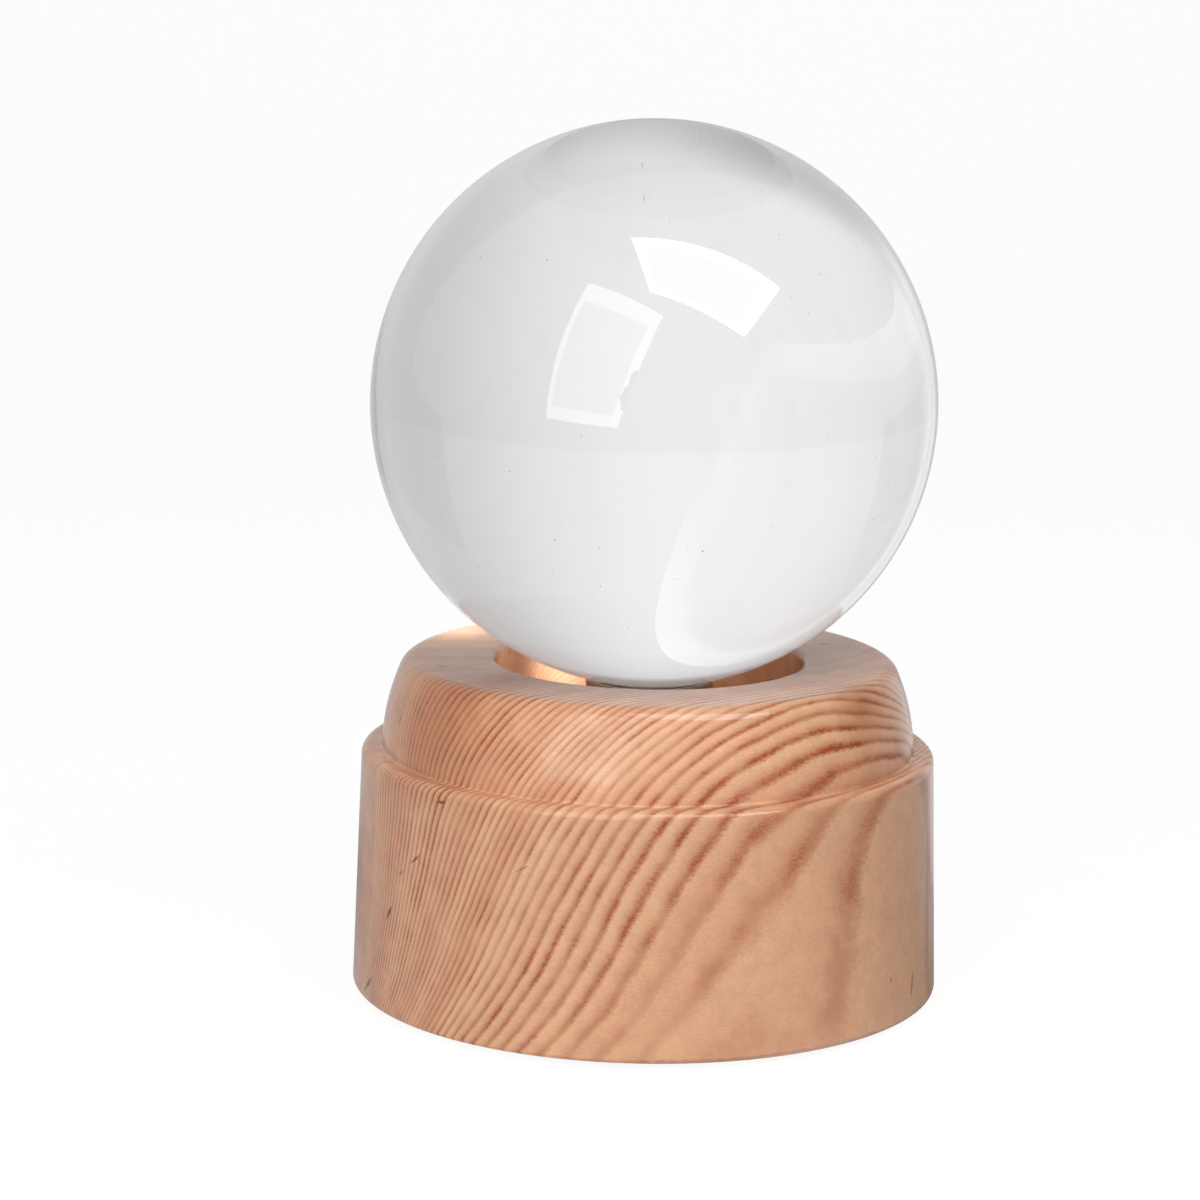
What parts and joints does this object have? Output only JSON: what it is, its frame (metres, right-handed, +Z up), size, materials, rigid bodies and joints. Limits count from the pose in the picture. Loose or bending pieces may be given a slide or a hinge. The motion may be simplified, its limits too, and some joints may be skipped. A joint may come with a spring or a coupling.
{
  "type": "crystal ball lamp",
  "caption": "Clear glass ball resting on a turned wooden post in the well of a stepped round wooden lamp base, with a rear power inlet and push switch.",
  "frame": {"origin": "under the centre of the ball, on the surface that the rubber feet stand on", "axes": "+Z up through the ball's centre, -Y to the front, +X to the right seen from the front"},
  "size_m": [0.0844, 0.0844, 0.1246],
  "materials": {
    "clear_glass": "polished, water clear",
    "lacquered_pine": "clear gloss lacquer over pine with strong growth rings",
    "turned_pine": "clear lacquer over turned pine",
    "clear_silicone": "translucent, soft",
    "clear_acrylic": "polished, clear",
    "white_board": "white solder mask on aluminium",
    "led_resin": "clear dome over yellow phosphor",
    "zinc_steel": "zinc plated",
    "black_moulding": "fine spark texture",
    "black_rubber": "soft, matt",
    "green_board": "green solder mask on glass epoxy",
    "black_epoxy": "moulded epoxy",
    "can_aluminium": "drawn can",
    "resistor_ceramic": "glazed",
    "black_nylon": "moulded nylon, half gloss",
    "plated_brass": "tin plated",
    "nickel_steel": "nickel plated",
    "brown_phenolic": "pressed laminate",
    "spring_steel": "drawn wire",
    "black_cap": "polished moulding",
    "black_pvc": "extruded sleeve",
    "red_pvc": "extruded sleeve"
  },
  "bodies": {
    "base": {"wood_base": "lacquered_pine", "seat_post": "turned_pine", "seat_ring": "clear_silicone", "light_guide": "clear_acrylic", "led_board": "white_board", "led_package": "led_resin", "led_screws": "zinc_steel", "bottom_cover": "black_moulding", "cover_screws": "zinc_steel", "rubber_feet": "black_rubber", "driver_board": "green_board", "driver_screws": "zinc_steel", "driver_chip": "black_epoxy", "driver_capacitor": "can_aluminium", "driver_resistors": "resistor_ceramic", "inlet_body": "black_nylon", "inlet_pin": "plated_brass", "inlet_contact": "plated_brass", "inlet_lugs": "plated_brass", "inlet_washer": "nickel_steel", "inlet_nut": "nickel_steel", "switch_body": "black_nylon", "switch_base": "brown_phenolic", "switch_contacts": "plated_brass", "switch_washer": "nickel_steel", "switch_nut": "nickel_steel", "switch_spring": "spring_steel", "lead_inlet_black": "black_pvc", "lead_inlet_red": "red_pvc", "lead_switch_red": "red_pvc", "lead_led_black": "black_pvc", "lead_led_red": "red_pvc"},
    "ball": {"crystal_ball": "clear_glass"},
    "button": {"push_button": "black_cap", "contact_plate": "plated_brass"}
  },
  "joints": [
    {"name": "ball_lift", "type": "slide", "parent": "base", "child": "ball", "axis": [0, 0, 1], "range_m": [0, 0.06]},
    {"name": "button_press", "type": "slide", "parent": "base", "child": "button", "axis": [-0.4384, -0.8988, 0], "range_m": [0, 0.002], "stiffness_N_per_m": 700, "springref_m": -0.0008, "deforming": ["switch_spring"]}
  ]
}
